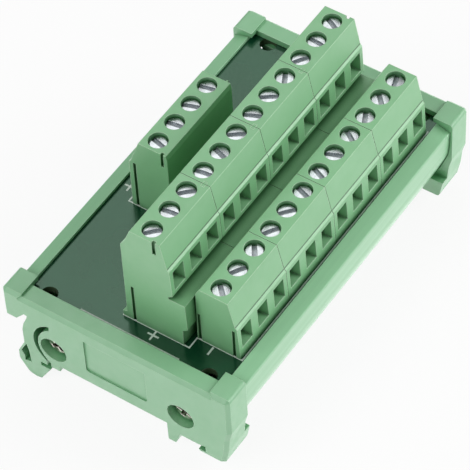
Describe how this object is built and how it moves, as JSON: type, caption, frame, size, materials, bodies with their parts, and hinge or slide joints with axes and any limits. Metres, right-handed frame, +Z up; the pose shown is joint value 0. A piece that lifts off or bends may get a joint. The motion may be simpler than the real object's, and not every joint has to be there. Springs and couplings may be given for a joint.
{
  "type": "power distribution module",
  "caption": "Rail-mounted circuit board carrier with a supply terminal block and two staggered rows of screw clamps that share out its two poles.",
  "frame": {"origin": "below the middle of the module, at the height of the latch feet's lowest point", "axes": "+X along the mounting rail, +Z up away from the rail, front wire entries face -Y"},
  "size_m": [0.079, 0.0478, 0.0446],
  "materials": {
    "housing": "moulded polyamide, fine satin",
    "end_plate": "moulded polyamide, fine satin",
    "carrier": "extruded PVC, satin",
    "board": "solder mask, glossy",
    "clamp_screw": "bright plated",
    "plate_screw": "zinc plated",
    "cage": "tin plated",
    "contact": "tin plated brass"
  },
  "bodies": {
    "module": {"carrier_profile": "carrier", "circuit_board": "board", "near_end_plate": "end_plate", "far_end_plate": "end_plate", "near_plate_screws": "plate_screw", "far_plate_screws": "plate_screw", "rear_block_1": "housing", "rear_block_2": "housing", "rear_block_3": "housing", "rear_block_4": "housing", "rear_cages_1": "cage", "rear_cages_2": "cage", "rear_cages_3": "cage", "rear_cages_4": "cage", "rear_contacts": "contact", "front_block_1": "housing", "front_block_2": "housing", "front_block_3": "housing", "front_block_4": "housing", "front_cages_1": "cage", "front_cages_2": "cage", "front_cages_3": "cage", "front_cages_4": "cage", "front_contacts": "contact", "input_block": "housing", "input_cages": "cage", "input_contacts": "contact"},
    "rear_screw_01": {"rear_screw_01": "clamp_screw"},
    "rear_screw_02": {"rear_screw_02": "clamp_screw"},
    "rear_screw_03": {"rear_screw_03": "clamp_screw"},
    "rear_screw_04": {"rear_screw_04": "clamp_screw"},
    "rear_screw_05": {"rear_screw_05": "clamp_screw"},
    "rear_screw_06": {"rear_screw_06": "clamp_screw"},
    "rear_screw_07": {"rear_screw_07": "clamp_screw"},
    "rear_screw_08": {"rear_screw_08": "clamp_screw"},
    "rear_screw_09": {"rear_screw_09": "clamp_screw"},
    "rear_screw_10": {"rear_screw_10": "clamp_screw"},
    "rear_screw_11": {"rear_screw_11": "clamp_screw"},
    "rear_screw_12": {"rear_screw_12": "clamp_screw"},
    "front_screw_01": {"front_screw_01": "clamp_screw"},
    "front_screw_02": {"front_screw_02": "clamp_screw"},
    "front_screw_03": {"front_screw_03": "clamp_screw"},
    "front_screw_04": {"front_screw_04": "clamp_screw"},
    "front_screw_05": {"front_screw_05": "clamp_screw"},
    "front_screw_06": {"front_screw_06": "clamp_screw"},
    "front_screw_07": {"front_screw_07": "clamp_screw"},
    "front_screw_08": {"front_screw_08": "clamp_screw"},
    "front_screw_09": {"front_screw_09": "clamp_screw"},
    "front_screw_10": {"front_screw_10": "clamp_screw"},
    "front_screw_11": {"front_screw_11": "clamp_screw"},
    "front_screw_12": {"front_screw_12": "clamp_screw"},
    "input_screw_01": {"input_screw_01": "clamp_screw"},
    "input_screw_02": {"input_screw_02": "clamp_screw"},
    "input_screw_03": {"input_screw_03": "clamp_screw"},
    "input_screw_04": {"input_screw_04": "clamp_screw"}
  },
  "joints": [
    {"name": "rear_screw_01_turn", "type": "hinge", "parent": "module", "child": "rear_screw_01", "pos_m": [-0.02921, -0.00296, 0.0437], "axis": [0, 0, -1], "range_deg": [0, 1728]},
    {"name": "rear_screw_02_turn", "type": "hinge", "parent": "module", "child": "rear_screw_02", "pos_m": [-0.02413, -0.00296, 0.0437], "axis": [0, 0, -1], "range_deg": [0, 1728]},
    {"name": "rear_screw_03_turn", "type": "hinge", "parent": "module", "child": "rear_screw_03", "pos_m": [-0.01905, -0.00296, 0.0437], "axis": [0, 0, -1], "range_deg": [0, 1728]},
    {"name": "rear_screw_04_turn", "type": "hinge", "parent": "module", "child": "rear_screw_04", "pos_m": [-0.01397, -0.00296, 0.0437], "axis": [0, 0, -1], "range_deg": [0, 1728]},
    {"name": "rear_screw_05_turn", "type": "hinge", "parent": "module", "child": "rear_screw_05", "pos_m": [-0.00889, -0.00296, 0.0437], "axis": [0, 0, -1], "range_deg": [0, 1728]},
    {"name": "rear_screw_06_turn", "type": "hinge", "parent": "module", "child": "rear_screw_06", "pos_m": [-0.00381, -0.00296, 0.0437], "axis": [0, 0, -1], "range_deg": [0, 1728]},
    {"name": "rear_screw_07_turn", "type": "hinge", "parent": "module", "child": "rear_screw_07", "pos_m": [0.00127, -0.00296, 0.0437], "axis": [0, 0, -1], "range_deg": [0, 1728]},
    {"name": "rear_screw_08_turn", "type": "hinge", "parent": "module", "child": "rear_screw_08", "pos_m": [0.00635, -0.00296, 0.0437], "axis": [0, 0, -1], "range_deg": [0, 1728]},
    {"name": "rear_screw_09_turn", "type": "hinge", "parent": "module", "child": "rear_screw_09", "pos_m": [0.01143, -0.00296, 0.0437], "axis": [0, 0, -1], "range_deg": [0, 1728]},
    {"name": "rear_screw_10_turn", "type": "hinge", "parent": "module", "child": "rear_screw_10", "pos_m": [0.01651, -0.00296, 0.0437], "axis": [0, 0, -1], "range_deg": [0, 1728]},
    {"name": "rear_screw_11_turn", "type": "hinge", "parent": "module", "child": "rear_screw_11", "pos_m": [0.02159, -0.00296, 0.0437], "axis": [0, 0, -1], "range_deg": [0, 1728]},
    {"name": "rear_screw_12_turn", "type": "hinge", "parent": "module", "child": "rear_screw_12", "pos_m": [0.02667, -0.00296, 0.0437], "axis": [0, 0, -1], "range_deg": [0, 1728]},
    {"name": "front_screw_01_turn", "type": "hinge", "parent": "module", "child": "front_screw_01", "pos_m": [-0.02667, -0.01461, 0.0329], "axis": [0, 0, -1], "range_deg": [0, 1728]},
    {"name": "front_screw_02_turn", "type": "hinge", "parent": "module", "child": "front_screw_02", "pos_m": [-0.02159, -0.01461, 0.0329], "axis": [0, 0, -1], "range_deg": [0, 1728]},
    {"name": "front_screw_03_turn", "type": "hinge", "parent": "module", "child": "front_screw_03", "pos_m": [-0.01651, -0.01461, 0.0329], "axis": [0, 0, -1], "range_deg": [0, 1728]},
    {"name": "front_screw_04_turn", "type": "hinge", "parent": "module", "child": "front_screw_04", "pos_m": [-0.01143, -0.01461, 0.0329], "axis": [0, 0, -1], "range_deg": [0, 1728]},
    {"name": "front_screw_05_turn", "type": "hinge", "parent": "module", "child": "front_screw_05", "pos_m": [-0.00635, -0.01461, 0.0329], "axis": [0, 0, -1], "range_deg": [0, 1728]},
    {"name": "front_screw_06_turn", "type": "hinge", "parent": "module", "child": "front_screw_06", "pos_m": [-0.00127, -0.01461, 0.0329], "axis": [0, 0, -1], "range_deg": [0, 1728]},
    {"name": "front_screw_07_turn", "type": "hinge", "parent": "module", "child": "front_screw_07", "pos_m": [0.00381, -0.01461, 0.0329], "axis": [0, 0, -1], "range_deg": [0, 1728]},
    {"name": "front_screw_08_turn", "type": "hinge", "parent": "module", "child": "front_screw_08", "pos_m": [0.00889, -0.01461, 0.0329], "axis": [0, 0, -1], "range_deg": [0, 1728]},
    {"name": "front_screw_09_turn", "type": "hinge", "parent": "module", "child": "front_screw_09", "pos_m": [0.01397, -0.01461, 0.0329], "axis": [0, 0, -1], "range_deg": [0, 1728]},
    {"name": "front_screw_10_turn", "type": "hinge", "parent": "module", "child": "front_screw_10", "pos_m": [0.01905, -0.01461, 0.0329], "axis": [0, 0, -1], "range_deg": [0, 1728]},
    {"name": "front_screw_11_turn", "type": "hinge", "parent": "module", "child": "front_screw_11", "pos_m": [0.02413, -0.01461, 0.0329], "axis": [0, 0, -1], "range_deg": [0, 1728]},
    {"name": "front_screw_12_turn", "type": "hinge", "parent": "module", "child": "front_screw_12", "pos_m": [0.02921, -0.01461, 0.0329], "axis": [0, 0, -1], "range_deg": [0, 1728]},
    {"name": "input_screw_01_turn", "type": "hinge", "parent": "module", "child": "input_screw_01", "pos_m": [-0.00762, 0.0112, 0.0366], "axis": [0, 0, -1], "range_deg": [0, 1728]},
    {"name": "input_screw_02_turn", "type": "hinge", "parent": "module", "child": "input_screw_02", "pos_m": [-0.00254, 0.0112, 0.0366], "axis": [0, 0, -1], "range_deg": [0, 1728]},
    {"name": "input_screw_03_turn", "type": "hinge", "parent": "module", "child": "input_screw_03", "pos_m": [0.00254, 0.0112, 0.0366], "axis": [0, 0, -1], "range_deg": [0, 1728]},
    {"name": "input_screw_04_turn", "type": "hinge", "parent": "module", "child": "input_screw_04", "pos_m": [0.00762, 0.0112, 0.0366], "axis": [0, 0, -1], "range_deg": [0, 1728]}
  ]
}
